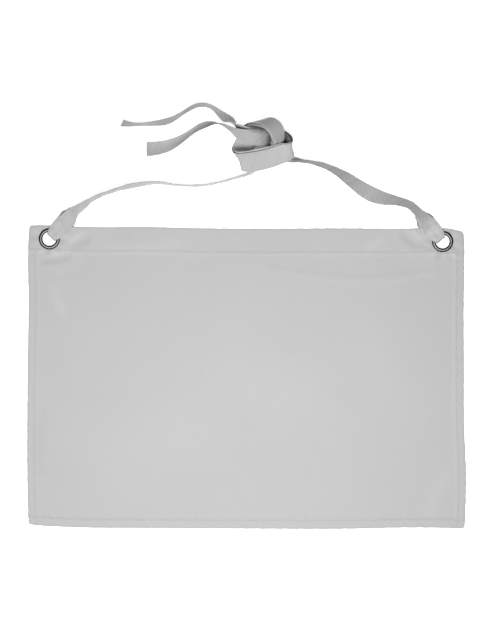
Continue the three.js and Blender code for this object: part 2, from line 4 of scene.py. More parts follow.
import bpy
import numpy as np
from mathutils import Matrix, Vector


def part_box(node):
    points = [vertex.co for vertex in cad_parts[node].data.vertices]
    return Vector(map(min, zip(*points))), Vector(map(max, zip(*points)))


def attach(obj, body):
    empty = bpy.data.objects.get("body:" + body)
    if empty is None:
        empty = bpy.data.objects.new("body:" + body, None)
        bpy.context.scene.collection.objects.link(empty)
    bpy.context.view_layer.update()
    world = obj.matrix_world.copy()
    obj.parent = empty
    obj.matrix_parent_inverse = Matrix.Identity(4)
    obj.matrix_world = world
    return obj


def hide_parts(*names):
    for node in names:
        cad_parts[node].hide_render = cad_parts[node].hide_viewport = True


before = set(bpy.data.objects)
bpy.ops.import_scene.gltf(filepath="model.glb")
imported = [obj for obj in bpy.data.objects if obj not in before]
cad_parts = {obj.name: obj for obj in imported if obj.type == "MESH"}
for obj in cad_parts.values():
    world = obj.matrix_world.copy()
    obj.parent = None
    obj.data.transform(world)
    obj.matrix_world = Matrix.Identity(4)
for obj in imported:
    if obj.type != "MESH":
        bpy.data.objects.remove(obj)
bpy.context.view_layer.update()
pi = math.pi


def say(text):
    print(f"[apron] {text}")


# Small helpers for curves and cloth

def smooth(value):
    part = np.clip(value, 0, 1)
    return part * part * (3 - 2 * part)


def bell(distance, width):
    return np.exp(-((distance / width) ** 2))


def wander(at, length, seed):  # an irregular wave between about -1 and 1
    total = 0
    for turn in range(4):
        pace = 2 * pi / length * (0.61 + 0.37 * turn + 0.083 * ((seed * 7 + turn * 5) % 9))
        total = total + np.sin(at * pace + seed * 2.399 + turn * 1.73) / (1.3 + 0.4 * turn)
    return total / 1.9


def tableAt(rows, share, column):  # a smooth line through one column of a table of shares
    x = np.array([row[0] for row in rows])
    y = np.array([row[column] for row in rows])
    slope = np.gradient(y, x)
    i = np.clip(np.searchsorted(x, share) - 1, 0, len(x) - 2)
    gap = x[i + 1] - x[i]
    t = np.clip((share - x[i]) / gap, 0, 1)
    keep = (1 + 2 * t) * (1 - t) ** 2 * y[i] + t * t * (3 - 2 * t) * y[i + 1]
    return keep + gap * (t * (1 - t) ** 2 * slope[i] - t * t * (1 - t) * slope[i + 1])


def meshPiece(name, points, faces, material, uv=None, shade=None):
    mesh = bpy.data.meshes.new(name)
    mesh.from_pydata((points * 0.001).tolist(), [], faces.tolist() if hasattr(faces, "tolist") else faces)
    mesh.polygons.foreach_set("use_smooth", [True] * len(mesh.polygons))
    corner = np.zeros(len(mesh.loops), dtype=np.int32)
    mesh.loops.foreach_get("vertex_index", corner)
    if uv is not None:
        layer = mesh.uv_layers.new(name="weave")
        layer.data.foreach_set("uv", (uv * 0.001)[corner].ravel())
    if shade is not None:
        mesh.attributes.new("shade", "FLOAT", "POINT").data.foreach_set("value", shade)
    mesh.materials.append(material)
    piece = bpy.data.objects.new(name, mesh)
    bpy.context.scene.collection.objects.link(piece)
    return piece


# Numbers on a shader's wire can be added, multiplied and so on

class Wire:
    def __init__(self, shader, socket):
        self.shader = shader
        self.socket = socket

    def maths(self, operation, *values):
        return self.shader.node("Math", {"operation": operation}, dict(enumerate(values)))

    def __add__(self, other):
        return self.maths("ADD", self, other)

    def __sub__(self, other):
        return self.maths("SUBTRACT", self, other)

    def __rsub__(self, other):
        return self.maths("SUBTRACT", other, self)

    def __mul__(self, other):
        return self.maths("MULTIPLY", self, other)

    def __pow__(self, other):
        return self.maths("POWER", self, other)

    def sine(self):
        return self.maths("SINE", self)

    def size(self):
        return self.maths("ABSOLUTE", self)

    __radd__ = __add__
    __rmul__ = __mul__


class Shader:
    def __init__(self, name):
        self.material = bpy.data.materials.new(name)
        self.material.use_nodes = True
        self.tree = self.material.node_tree
        self.tree.nodes.clear()

    def node(self, kind, settings=None, values=None, out=0):
        made = self.tree.nodes.new("ShaderNode" + kind)
        for key, value in (settings or {}).items():
            if key == "stops":
                ramp = made.color_ramp.elements
                while len(ramp) < len(value):
                    ramp.new(0.5)
                for stop, (place, colour) in zip(ramp, value):
                    stop.position = place
                    stop.color = colour
            else:
                setattr(made, key, value)
        for key, value in (values or {}).items():
            if isinstance(value, Wire):
                self.tree.links.new(value.socket, made.inputs[key])
            else:
                made.inputs[key].default_value = value
        return Wire(self, made.outputs[out]) if len(made.outputs) else None

    def noise(self, place, scale, detail):
        return self.node("TexNoise", None, {"Vector": place, "Scale": scale, "Detail": detail})

    def stretched(self, place, factors):
        return self.node("VectorMath", {"operation": "MULTIPLY"}, {0: place, 1: factors})

    def mix(self, factor, first, second):
        return self.node("Mix", {"data_type": "RGBA"}, {0: factor, 6: first, 7: second}, 2)

    def finished(self, values):
        surface = self.node("BsdfPrincipled", None, values)
        self.node("OutputMaterial", None, {"Surface": surface})
        return self.material


# Below a shade of 0 the cloth mixes toward a lighter tone, for wear, random tone and painted light; above
# 0.6 toward a deep tone, for painted shade
clothLook = {
    "light": (0.55, 0.55, 0.55, 1), "dark": (0.40, 0.40, 0.40, 1), "lighterTone": (0.66, 0.66, 0.66, 1),
    "deep": (0.10, 0.10, 0.10, 1),
    "thread": 0.62, "weaveDepth": 0.00012, "fuzzDepth": 0.00005, "slubDepth": 0.00005, "roughness": 0.93,
    "weaveTone": 0.30, "slub": 0.5, "cloud": 0.14, "fuzz": 0.12, "deepShadeFrom": 0.6, "deepShadeRate": 0.8,
}


def clothMaterial(name, look):
    shader = Shader(name)
    place = shader.node("UVMap", {"uv_map": "weave"})
    across = shader.node("SeparateXYZ", None, {0: place}, 0)
    along = shader.node("SeparateXYZ", None, {0: place}, 1)
    pace = pi / (look["thread"] * 0.001)
    warp = (across * pace).sine()
    weft = (along * pace).sine()
    over = warp * weft * 0.5 + 0.5  # which thread lies on top, square by square
    swell = (warp.size() * weft.size()) ** 0.5
    weave = over * 0.45 + swell * 0.55
    slubAcross = shader.noise(shader.stretched(place, (1500, 26, 1)), 1, 2)
    slubAlong = shader.noise(shader.stretched(place, (26, 1500, 1)), 1, 2)
    slub = slubAcross * 0.5 + slubAlong * 0.5
    fuzz = shader.noise(place, 2600, 4)
    cloud = shader.noise(place, 9, 3)
    shade = shader.node("Attribute", {"attribute_name": "shade"}, None, "Fac")
    depth = (1 - weave) * look["weaveTone"] + (slub - 0.5) * look["slub"]
    depth = depth + (cloud - 0.5) * look["cloud"] + (fuzz - 0.5) * look["fuzz"]
    colour = shader.mix(depth + shade, look["light"], look["dark"])
    colour = shader.mix(0 - shade, colour, look["lighterTone"])  # a shade below 0 mixes toward the lighter tone, for wear, random tone and painted light; above 0.6 it mixes toward the deep tone, for painted shade
    colour = shader.mix((shade - look["deepShadeFrom"]) * look["deepShadeRate"], colour, look["deep"])
    height = weave * look["weaveDepth"] + fuzz * look["fuzzDepth"] + slub * look["slubDepth"]
    bump = shader.node("Bump", None, {"Strength": 0.7, "Distance": 1.0, "Height": height})
    rough = fuzz * 0.08 + (look["roughness"] - 0.04)
    return shader.finished({
        "Base Color": colour, "Roughness": rough, "Normal": bump,
        "Sheen Weight": 0.08, "Sheen Roughness": 0.5, "Specular IOR Level": 0.2,
    })


threadLook = {"light": (0.60, 0.60, 0.60, 1), "dark": (0.44, 0.44, 0.44, 1), "twist": 0.9}


def threadMaterial(name, look):
    shader = Shader(name)
    place = shader.node("UVMap", {"uv_map": "weave"})
    across = shader.node("SeparateXYZ", None, {0: place}, 0)
    along = shader.node("SeparateXYZ", None, {0: place}, 1)
    twist = ((along + across * 0.8) * (2 * pi / (look["twist"] * 0.001))).sine() * 0.5 + 0.5
    fuzz = shader.noise(place, 3200, 3)
    colour = shader.mix((1 - twist) * 0.7 + (fuzz - 0.5) * 0.5, look["light"], look["dark"])
    height = twist * 0.00006 + fuzz * 0.00002
    bump = shader.node("Bump", None, {"Strength": 0.8, "Distance": 1.0, "Height": height})
    return shader.finished({"Base Color": colour, "Roughness": 0.7, "Normal": bump})


# A pale, less metallic colour on the crown of each eyelet is a painted highlight ring
metalLook = {
    "clean": (0.012, 0.012, 0.013, 1), "highlightColour": (0.62, 0.615, 0.61, 1), "roughness": 0.36, "highlightMatte": 0.9,
}


def metalMaterial(name, look):
    shader = Shader(name)
    place = shader.node("TexCoord", None, None, "Object")
    cloud = shader.noise(place, 60, 4)
    grain = shader.noise(place, 1400, 3)
    # the shade attribute marks the painted highlight ring on the crown
    edge = shader.node("Attribute", {"attribute_name": "shade"}, None, "Fac")
    lighterTone = edge * (cloud * 0.5 + 0.6)
    colour = shader.mix(lighterTone, look["clean"], look["highlightColour"])
    metallic = 1 - edge * look["highlightMatte"]
    rough = cloud * 0.12 + grain * 0.04 + (look["roughness"] - 0.08)
    bump = shader.node("Bump", None, {"Strength": 0.25, "Distance": 1.0, "Height": grain * 0.00002})
    return shader.finished({"Base Color": colour, "Metallic": metallic, "Roughness": rough, "Normal": bump})


def floorMaterial(name):
    shader = Shader(name)
    place = shader.node("TexCoord", None, None, "Object")
    cloud = shader.noise(place, 3, 3)
    colour = shader.mix(cloud, (0.86, 0.86, 0.86, 1), (0.88, 0.88, 0.88, 1))
    x, y, radius = stage["knotShade"]  # the floor glows less in a circle hidden under the knot
    away = shader.node("VectorMath", {"operation": "DISTANCE"}, {0: place, 1: (x, y, 0)}, "Value")
    clear = shader.node("Math", {"operation": "LESS_THAN"}, {0: radius, 1: away})
    glow = shader.mix(clear, stage["knotGlow"], (1, 1, 1, 1))
    return shader.finished({
        "Base Color": colour, "Roughness": 0.85, "Specular IOR Level": 0.2,
        "Emission Color": glow, "Emission Strength": stage["glow"],
    })


canvas = clothMaterial("greyCanvas", clothLook)
thread = threadMaterial("greyThread", threadLook)
blackNickel = metalMaterial("blackNickel", metalLook)
say("materials made")


# The floor, the light and the camera

stage = {
    "floorSize": 8.0, "floorDrop": 0.0004, "cameraHeight": 8.0, "frameTall": 1.0469,
    "middle": (0.00575, 0.00598), "sky": 0.14, "glow": 0.78,
    "knotShade": (0.0235, 0.2835, 0.0175), "knotGlow": (0.12, 0.12, 0.12, 1), "aim": (0.0, 0.05, 0.0),
    "lights": [  # place, size, watts
        ((-0.45, -0.7, 2.2), 0.8, 19.5),
        ((0.03, -0.26, 1.3), 0.5, 12.0),
    ],
}


def setStage():
    half = stage["floorSize"] / 2
    points = np.array([[-half, -half, 0], [half, -half, 0], [half, half, 0], [-half, half, 0]]) * 1000
    floor = meshPiece("floor", points, np.array([[0, 1, 2, 3]]), floorMaterial("paleFloor"))
    floor.location.z = -stage["floorDrop"]
    for i, (place, size, watts) in enumerate(stage["lights"]):
        data = bpy.data.lights.new(f"softbox{i}", "AREA")
        data.shape = "DISK"
        data.size = size
        data.energy = watts
        lamp = bpy.data.objects.new(f"softbox{i}", data)
        lamp.location = place
        aim = np.array(stage["aim"]) - np.array(place)
        lamp.rotation_euler = (math.acos(-aim[2] / np.linalg.norm(aim)), 0, math.atan2(-aim[0], aim[1]))
        bpy.context.scene.collection.objects.link(lamp)
    world = bpy.data.worlds.new("studio")
    world.use_nodes = True
    world.node_tree.nodes["Background"].inputs[0].default_value = (1, 1, 1, 1)
    world.node_tree.nodes["Background"].inputs[1].default_value = stage["sky"]
    bpy.context.scene.world = world
    bpy.context.scene.view_settings.view_transform = "Standard"
    lens = bpy.data.cameras.new("camera")
    lens.sensor_width = 36
    lens.lens = 36 * stage["cameraHeight"] / stage["frameTall"]
    camera = bpy.data.objects.new("camera", lens)
    camera.location = (*stage["middle"], stage["cameraHeight"])
    bpy.context.scene.collection.objects.link(camera)
    bpy.context.scene.camera = camera
    return floor


floor = setStage()
say("stage set")


# The panel's outline and the eyelets' places

# The last two numbers are how strong the painted shade is along the seams and along the edges
panel = {
    "width": 730, "height": 503, "thick": 1.0, "band": 42, "bandExtra": 1.4, "sideHem": 15,
    "bottomHem": 15, "hemExtra": 1.2, "seamSlope": 3, "eyeletInset": 36, "eyeletDrop": 22.2,
    "liftFlat": 27, "liftFall": 42, "hover": 0.7, "edgeRound": 1.3,
    "bandSeam": 39.6, "sideSeam": 11.8, "bottomSeam": 14.2, "hole": 12.75, "corner": 4.5,
    "pucker": 0.42, "furrow": 0.34, "drawn": 0.5, "dip": 0.5, "seamShadeTone": 0.24, "edgeShadeTone": 0.45,
}
halfWidth = panel["width"] / 2

sideSway = [  # share of the height, how far the left and right edges stand out
    (0.0, -0.0037, -0.0014), (0.03, -0.0019, 0.0), (0.1, 0.0, 0.0007), (0.25, -0.0012, -0.0004),
    (0.45, 0.0007, 0.0), (0.65, 0.0021, 0.0005), (0.82, 0.002, 0.0048), (0.93, 0.0007, 0.0037),
    (1.0, -0.0011, 0.0016),
]
endSway = [  # share of the width, how far the top and bottom edges stand out
    (0.0, 0.0086, -0.014), (0.03, 0.0096, -0.009), (0.065, 0.0074, -0.0064), (0.13, 0.0038, -0.0028),
    (0.27, 0.004, -0.0014), (0.38, 0.0004, -0.0004), (0.5, -0.0016, 0.0008), (0.74, -0.0004, 0.0012),
    (0.86, -0.002, -0.0026), (0.955, -0.0004, -0.0016), (0.985, -0.007, -0.0004), (1.0, -0.014, -0.0006),
]


def eyeletAt(side):
    x = side * (halfWidth - panel["eyeletInset"])
    rise = np.interp((x + halfWidth) / panel["width"], [r[0] for r in endSway], [r[1] for r in endSway])
    return np.array([x, panel["height"] * rise - panel["eyeletDrop"], 0.0])


eyelets = {"left": (eyeletAt(-1), math.radians(47)), "right": (eyeletAt(1), math.radians(130.5))}
seatLow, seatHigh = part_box("eyelet_left")
seat = (np.array(seatLow) + np.array(seatHigh)) * 500  # the eyelet's middle in the frame, in millimetres
origin = np.array([seat[0], seat[1], 0.0]) - eyelets["left"][0]

# The stack of layers at an eyelet, from the floor up

metal = {
    "hole": 23, "outer": 35.5, "rise": 2.0, "barrel": 0.8, "lip": 1.6, "lipThick": 0.6, "washer": 32,
    "washerThick": 0.8, "seat": 0.3, "sides": 120,
}
# The knot, arch and rim tones are strengths of painted shade on the tape inside the knot
tape = {
    "width": 34, "thick": 1.6, "gap": 0.9, "pairGap": 1.8, "rise": 210, "foldSet": 2.5, "sewn": 62,
    "step": 5, "knotStep": 2.6, "passes": 5, "fine": 1.5, "knotAlong": 0.541, "knotUp": 0.664,
    "seam": 0.86, "groove": 0.2, "cockle": 0.5, "crimp": 0.24, "knotShadowTone": 1.2, "archShadowTone": 1.1,
    "rimShadow": 0.9, "endSeam": 5.2, "sewnRows": (0.95, 0.72),
}
lipUnder = tape["thick"] + metal["seat"]
washerUnder = lipUnder + metal["lipThick"] + metal["seat"]
bandUnder = washerUnder + metal["washerThick"] + metal["seat"]
flangeUnder = bandUnder + panel["thick"] + panel["bandExtra"] + metal["seat"]
flangeOver = flangeUnder + metal["rise"]


def liftAt(x, y):
    lift = 0
    for middle, heading in eyelets.values():
        run = np.hypot(x - middle[0], y - middle[1])
        along = (x - middle[0]) * math.cos(heading) + (y - middle[1]) * math.sin(heading)
        aside = np.sqrt(np.maximum(run * run - along * along, 0))
        near = np.where(along > 0, aside, run)
        lift = np.maximum(lift, bandUnder * (1 - smooth((near - panel["liftFlat"]) / panel["liftFall"])))
    return lift


creases = [  # from, to (millimetres from the panel's top left corner), height, width
    ((18, 60), (74, 48), -1.9, 5.0), ((24, 50), (72, 39), 1.1, 6.0), ((70, 36), (106, 13), -1.9, 7.0),
    ((58, 28), (92, 4), 1.4, 7.0), ((622, 4), (656, 33), -2.1, 6.5), ((641, 2), (668, 20), 1.5, 6.0),
    ((655, 24), (672, 36), -1.1, 3.0), ((400, 60), (700, 63), -0.9, 7.0), ((420, 68), (690, 71), 0.7, 9.0),
    ((120, 30), (260, 22), 0.7, 9.0), ((300, 34), (470, 26), -0.5, 10.0), ((40, 90), (60, 150), 0.8, 9.0),
    ((706, 400), (668, 492), 0.5, 12.0), ((600, 18), (560, 40), 0.8, 9.0),
    ((30, 300), (22, 420), -0.6, 8.0), ((300, 180), (520, 320), 0.35, 60.0),
    ((120, 400), (330, 260), 0.35, 60.0), ((560, 120), (640, 330), 0.3, 50.0),
]


def creaseRelief(x, y):
    total = np.zeros_like(x)
    for start, end, height, width in creases:
        run = np.array(end, float) - np.array(start, float)
        length = np.hypot(*run)
        way = run / length
        along = (x - start[0]) * way[0] + (y - start[1]) * way[1]
        aside = (x - start[0]) * -way[1] + (y - start[1]) * way[0]
        bow = 0.06 * length * np.sin(pi * np.clip(along / length, 0, 1))
        ends = smooth((along + width) / (width * 3)) * smooth((length + width - along) / (width * 3))
        total += height * bell(aside - bow, width) * ends
    return total


# Grooves under the stitches and puckers beside them, x and y from the panel's top left corner
def seamRelief(x, y):
    wide, tall = panel["width"], panel["height"]
    below = smooth((y - panel["bandSeam"]) / 3)
    seams = [  # distance from the seam, place along it, wave, seed, reach of the puckers, where it runs
        (y - panel["bandSeam"], x, 9.4, 1, 8.0, 1.0),
        (x - panel["sideSeam"], y, 8.2, 2, 7.0, below),
        (wide - panel["sideSeam"] - x, y, 8.8, 3, 7.0, below),
        (tall - panel["bottomSeam"] - y, x, 9.8, 4, 7.0, 1.0),
        (y - 2.2, x, 8.4, 5, 3.0, 0.5),
    ]
    total = np.zeros_like(x)
    for far, place, wave, seed, reach, share in seams:
        slant = place + far * 0.55 + 2.6 * wander(place, 74, seed + 5)
        strength = 0.45 + 0.55 * wander(place, 61, seed + 9)
        ripple = np.sin(2 * pi * slant / wave + 0.8 * wander(place, 23, seed))
        pucker = panel["pucker"] * strength * ripple * bell(far, reach)
        total += share * (pucker - panel["furrow"] * bell(far, 1.1))
    return total


def eyeletRelief(x, y):  # the cloth is drawn in round each eyelet
    total = np.zeros_like(x)
    for side, (middle, heading) in eyelets.items():
        dx = x - (middle[0] + halfWidth)
        dy = -y - middle[1]
        run = np.hypot(dx, dy)
        turn = np.arctan2(dy, dx)
        spokes = np.sin(turn * 9 + (1.1 if side == "left" else 2.4)) + 0.6 * np.sin(turn * 5 + 0.7)
        total += panel["drawn"] * spokes * bell(run - 22, 10) - panel["dip"] * bell(run - 18.5, 2.6)
    return total


def panelLines(size, stops):  # grid lines, closer together near the folded edges
    rounded = [0, 0.25, 0.6, 1.0, 1.5, 2.2, 3.2, 4.6]
    lines = list(rounded)
    for until, step in stops:
        count = max(int(round((until - lines[-1]) / step)), 1)
        start = lines[-1]
        lines += [start + (until - start) * (j + 1) / count for j in range(count)]
    return np.array(lines[:-1] + [size - value for value in reversed(rounded)])


def makePanel():
    wide, tall = panel["width"], panel["height"]
    columns = panelLines(wide, [(22, 2.4), (wide - 22, 3.0), (wide - 4.6, 2.4)])
    rows = panelLines(tall, [(62, 2.5), (tall - 26, 3.3), (tall - 4.6, 2.4)])
    x, y = np.meshgrid(columns, rows)
    shareX, shareY = x / wide, y / tall
    left = -wide * tableAt(sideSway, shareY, 1) * (1 - shareX)
    right = wide * tableAt(sideSway, shareY, 2) * shareX
    top = tall * tableAt(endSway, shareX, 1) * (1 - shareY)
    bottom = -tall * tableAt(endSway, shareX, 2) * shareY
    placeX = x - halfWidth + left + right
    placeY = -y + top + bottom
    edgeX = np.minimum(x, wide - x)
    edgeY = np.minimum(y, tall - y)
    placeX += 0.35 * wander(y, 26, 3) * bell(edgeX, 6) * np.sign(x - wide / 2)
    placeY += 0.30 * wander(x, 28, 6) * bell(edgeY, 6)
    fromEdge = np.minimum(edgeX, edgeY)
    cornerX = np.maximum(0, panel["corner"] - edgeX)  # the corners are a little round
    cornerY = np.maximum(0, panel["corner"] - edgeY)
    pull = np.maximum(np.hypot(cornerX, cornerY) - panel["corner"], 0)
    placeX -= np.sign(x - wide / 2) * pull * 0.7
    placeY += np.sign(y - tall / 2) * pull * 0.7
    inside = smooth((edgeX - 16) / 60) * smooth((y - 60) / 60) * smooth((tall - y - 16) / 60)
    waves = 0.5 * wander(x, 300, 2) * np.cos(y / 90) + 0.5 * wander(y, 260, 8) * np.sin(x / 120 + 1)
    hover = panel["hover"] * (inside + 0.6 * inside * waves)
    fromFar = creaseRelief(x, y)
    lying = liftAt(placeX, placeY) + hover
    under = np.maximum(lying + np.where(lying > 0.3, fromFar, 0), 0.0)
    slope = panel["seamSlope"]
    band = 1 - smooth((y - panel["band"] - 1) / slope)
    sides = 1 - smooth((edgeX - panel["sideHem"]) / slope)
    foot = 1 - smooth((tall - y - panel["bottomHem"]) / slope)
    thick = panel["thick"] + panel["bandExtra"] * band + panel["hemExtra"] * np.maximum(sides, foot)
    fine = seamRelief(x, y) + eyeletRelief(x, y) + np.where(under > 0.3, 0, 0.5 * fromFar)
    fall = np.clip(1 - fromEdge / panel["edgeRound"], 0, 1)
    body = thick * (0.30 + 0.70 * np.sqrt(1 - fall**2))
    over = under + body + np.maximum(fine, -0.55 * thick) * smooth(fromEdge / 2.5)
    under = under + 0.25 * thick * fall**2
    points = np.stack([placeX, placeY, under], -1).reshape(-1, 3)
    overPoints = np.stack([placeX, placeY, over], -1).reshape(-1, 3)
    deep, long = x.shape
    index = np.arange(deep * long).reshape(deep, long)
    quads = np.stack([index[:-1, :-1], index[1:, :-1], index[1:, 1:], index[:-1, 1:]], -1).reshape(-1, 4)
    flat = points[:, :2].copy()
    kept = np.ones(len(quads), bool)
    for middle, _ in eyelets.values():
        centre = flat[quads].mean(1)
        kept &= np.hypot(*(centre - middle[:2]).T) > panel["hole"]
    quads = quads[kept]
    edges = np.concatenate([quads[:, [k, (k + 1) % 4]] for k in range(4)])
    keys = {(a, b) for a, b in edges.tolist()}
    rim = np.array([(a, b) for a, b in keys if (b, a) not in keys])
    for middle, _ in eyelets.values():  # the cut edge of each hole is drawn to a circle
        near = np.unique(rim)
        away = flat[near] - middle[:2]
        run = np.hypot(*away.T)
        near, away, run = near[run < 18], away[run < 18], run[run < 18]
        snapped = middle[:2] + away / run[:, None] * panel["hole"]
        points[near, :2] = snapped
        overPoints[near, :2] = snapped
    count = len(points)
    both = np.concatenate([points, overPoints]) + origin
    walls = np.stack([rim[:, 1], rim[:, 0], rim[:, 0] + count, rim[:, 1] + count], -1)
    faces = np.concatenate([quads[:, ::-1], quads + count, walls])
    uv = np.stack([x.ravel(), -y.ravel()], -1)
    # Painted shade darkens the grooves along the seams
    grooveShade = bell(y - panel["bandSeam"], 1.2) + bell(edgeX - panel["sideSeam"], 1.2) * smooth((y - 40) / 3)
    grooveShade += bell(tall - y - panel["bottomSeam"], 1.2)
    # Painted shade darkens a thin line along the folded edges
    edgeShade = bell(fromEdge, 2.0) * (0.7 + 0.3 * wander(x + y, 18, 4))
    # Painted shade in creases, puckers and the dips round the eyelets, and painted light on their crests
    reliefShade = np.clip(-0.30 * (seamRelief(x, y) + eyeletRelief(x, y)) - 0.14 * fromFar, -0.25, 0.35)
    broken = np.minimum(grooveShade, 1) * (0.6 + 0.4 * wander(x + 1.7 * y, 52, 12))
    shade = (panel["seamShadeTone"] * broken + panel["edgeShadeTone"] * edgeShade + reliefShade).ravel()
    shade = np.concatenate([shade, shade])
    piece = meshPiece("panelCloth", both, faces, canvas, np.concatenate([uv, uv]), shade)
    surface = np.stack([placeX, placeY, over], -1) + origin
    return piece, columns, rows, surface


panelCloth, panelColumns, panelRows, panelSurface = makePanel()
say(f"panel made, {len(panelCloth.data.polygons)} faces")


# Stitches are short arched threads along a line on a surface

sewing = {"pitch": 3.5, "length": 2.75, "radius": 0.3, "rise": 0.16, "sides": 6}


def stitchesAlong(path, up, start=1.0, spec=sewing):
    step = np.linalg.norm(np.diff(path, axis=0), axis=1)
    run = np.concatenate([[0], np.cumsum(step)])
    count = int((run[-1] - start) / spec["pitch"])
    shares = np.array([0.0, 0.14, 0.5, 0.86, 1.0])
    swell = np.array([0.45, 0.9, 1.0, 0.9, 0.45])
    arch = np.array([-0.30, 0.02, spec["rise"], 0.02, -0.30])
    jitter = 0.18 * wander(np.arange(count) * 1.0, 3.1, 2)
    at = (start + np.arange(count) * spec["pitch"] + jitter)[:, None] + shares * spec["length"]
    middle = np.stack([np.interp(at, run, path[:, k]) for k in range(3)], -1)
    lean = np.stack([np.interp(at, run, up[:, k]) for k in range(3)], -1)
    lean /= np.linalg.norm(lean, axis=-1, keepdims=True)
    along = np.gradient(middle, axis=1)
    along /= np.linalg.norm(along, axis=-1, keepdims=True)
    beside = np.cross(along, lean)
    middle = middle + lean * (arch[None, :, None])
    turn = np.arange(spec["sides"]) * 2 * pi / spec["sides"]
    thick = spec["radius"] * swell[None, :, None, None]
    ring = beside[:, :, None] * np.cos(turn)[:, None] + lean[:, :, None] * np.sin(turn)[:, None] * 0.75
    points = (middle[:, :, None] + ring * thick).reshape(-1, 3)
    rings, sides = len(shares), spec["sides"]
    index = np.arange(count * rings * sides).reshape(count, rings, sides)
    a, b = index[:, :-1], index[:, 1:]
    quads = np.stack([a, np.roll(a, -1, 2), np.roll(b, -1, 2), b], -1).reshape(-1, 4)
    caps = np.concatenate([index[:, 0, ::-1], index[:, -1]])
    uvAlong = np.repeat((at - at[:, :1])[:, :, None], sides, 2)
    uvAcross = np.broadcast_to(turn * spec["radius"], uvAlong.shape)
    uv = np.stack([uvAcross, uvAlong], -1).reshape(-1, 2)
    return points, quads.tolist() + caps.tolist(), uv


def stitchPiece(name, rows):
    points, faces, uv = [], [], []
    count = 0
    for part, partFaces, partUv in rows:
        points.append(part)
        uv.append(partUv)
        faces += [[i + count for i in face] for face in partFaces]
        count += len(part)
    return meshPiece(name, np.concatenate(points), faces, thread, np.concatenate(uv))


def panelPath(x, y):  # points on the panel's upper surface, with the way up
    def onGrid(px, py):
        i = np.clip(np.searchsorted(panelColumns, px) - 1, 0, len(panelColumns) - 2)
        j = np.clip(np.searchsorted(panelRows, py) - 1, 0, len(panelRows) - 2)
        u = ((px - panelColumns[i]) / (panelColumns[i + 1] - panelColumns[i]))[:, None]
        v = ((py - panelRows[j]) / (panelRows[j + 1] - panelRows[j]))[:, None]
        low = panelSurface[j, i] * (1 - u) + panelSurface[j, i + 1] * u
        high = panelSurface[j + 1, i] * (1 - u) + panelSurface[j + 1, i + 1] * u
        return low * (1 - v) + high * v
    here = onGrid(x, y)
    up = np.cross(onGrid(x + 1.5, y) - here, onGrid(x, y - 1.5) - here)
    return here, up / np.linalg.norm(up, axis=1)[:, None]


def makePanelStitches():
    wide, tall = panel["width"], panel["height"]
    acrossX = np.arange(3.0, wide - 3.0, 1.5)
    downY = np.arange(panel["bandSeam"] + 1.0, tall - 3.0, 1.5)
    rows = [stitchesAlong(*panelPath(acrossX, np.full_like(acrossX, panel["bandSeam"])))]
    rows.append(stitchesAlong(*panelPath(acrossX, np.full_like(acrossX, tall - panel["bottomSeam"]))))
    for place in (panel["sideSeam"], wide - panel["sideSeam"]):
        rows.append(stitchesAlong(*panelPath(np.full_like(downY, place), downY)))
    return stitchPiece("panelStitches", rows)


panelStitches = makePanelStitches()
say("panel stitches made")


# Eyelets and washers are turned about the vertical

def turnedPiece(name, outline, middle):
    sides = metal["sides"]
    outline = np.array(outline)
    turn = np.arange(sides) * 2 * pi / sides
    x = outline[:, 0][None] * np.cos(turn)[:, None] + middle[0]
    y = outline[:, 0][None] * np.sin(turn)[:, None] + middle[1]
    z = np.broadcast_to(outline[:, 1], x.shape)
    points = np.stack([x, y, z], -1).reshape(-1, 3) + origin
    index = np.arange(sides * len(outline)).reshape(sides, len(outline))
    a, b = index, np.roll(index, -1, 0)
    quads = np.stack([a, b, np.roll(b, -1, 1), np.roll(a, -1, 1)], -1).reshape(-1, 4)
    crown = outline[np.argmax(outline[:, 1]), 0]  # the thin pale ring on the crown is a painted highlight
    highlightRing = np.tile(bell(outline[:, 0] - crown, 0.5) * (outline[:, 1] > flangeUnder), sides)
    return meshPiece(name, points, quads, blackNickel, None, highlightRing)


def eyeletOutline():
    hole, rim = metal["hole"] / 2, metal["outer"] / 2
    barrel = hole + metal["barrel"]
    lipRim, lipOver = barrel + metal["lip"], lipUnder + metal["lipThick"]
    crown = (hole + rim) / 2
    reach = (rim - hole) / 2
    outline = [(hole, lipUnder + 0.7), (hole + 0.15, lipUnder + 0.2), (hole + 0.5, lipUnder)]
    outline += [(lipRim - 0.2, lipUnder), (lipRim, lipUnder + 0.2)]
    outline += [(lipRim - 0.1, lipOver), (barrel, lipOver)]
    outline += [(barrel, flangeUnder), (rim - 0.5, flangeUnder), (rim - 0.1, flangeUnder + 0.15)]
    for step in range(13):  # the domed ring, from the outer edge over the crown and down into the hole
        angle = pi * step / 12
        dome = flangeUnder + 0.45 + (metal["rise"] - 0.45) * math.sin(angle) ** 0.75
        outline.append((crown + reach * math.cos(angle), dome if step < 12 else flangeUnder + 0.2))
    return outline


def washerOutline():
    inner, outer = metal["hole"] / 2 + metal["barrel"] + metal["seat"], metal["washer"] / 2
    low, thick = washerUnder, metal["washerThick"]
    return [
        (inner, low), (outer - 0.5, low), (outer - 0.15, low + 0.1), (outer, low + thick / 2),
        (outer - 0.1, low + thick), (inner, low + thick),
    ]


fittings = {}
for side, (middle, _) in eyelets.items():
    fittings[f"eyelet_{side}"] = turnedPiece(f"eyelet{side.title()}Metal", eyeletOutline(), middle)
    fittings[f"washer_{side}"] = turnedPiece(f"washer{side.title()}Metal", washerOutline(), middle)
say("eyelets and washers made")


# Rows of the ties: x, y, how far the upper edge leans out (two numbers), layers under it, further
# height, share of the width, how far the pair is apart, and how far one tie is shifted across

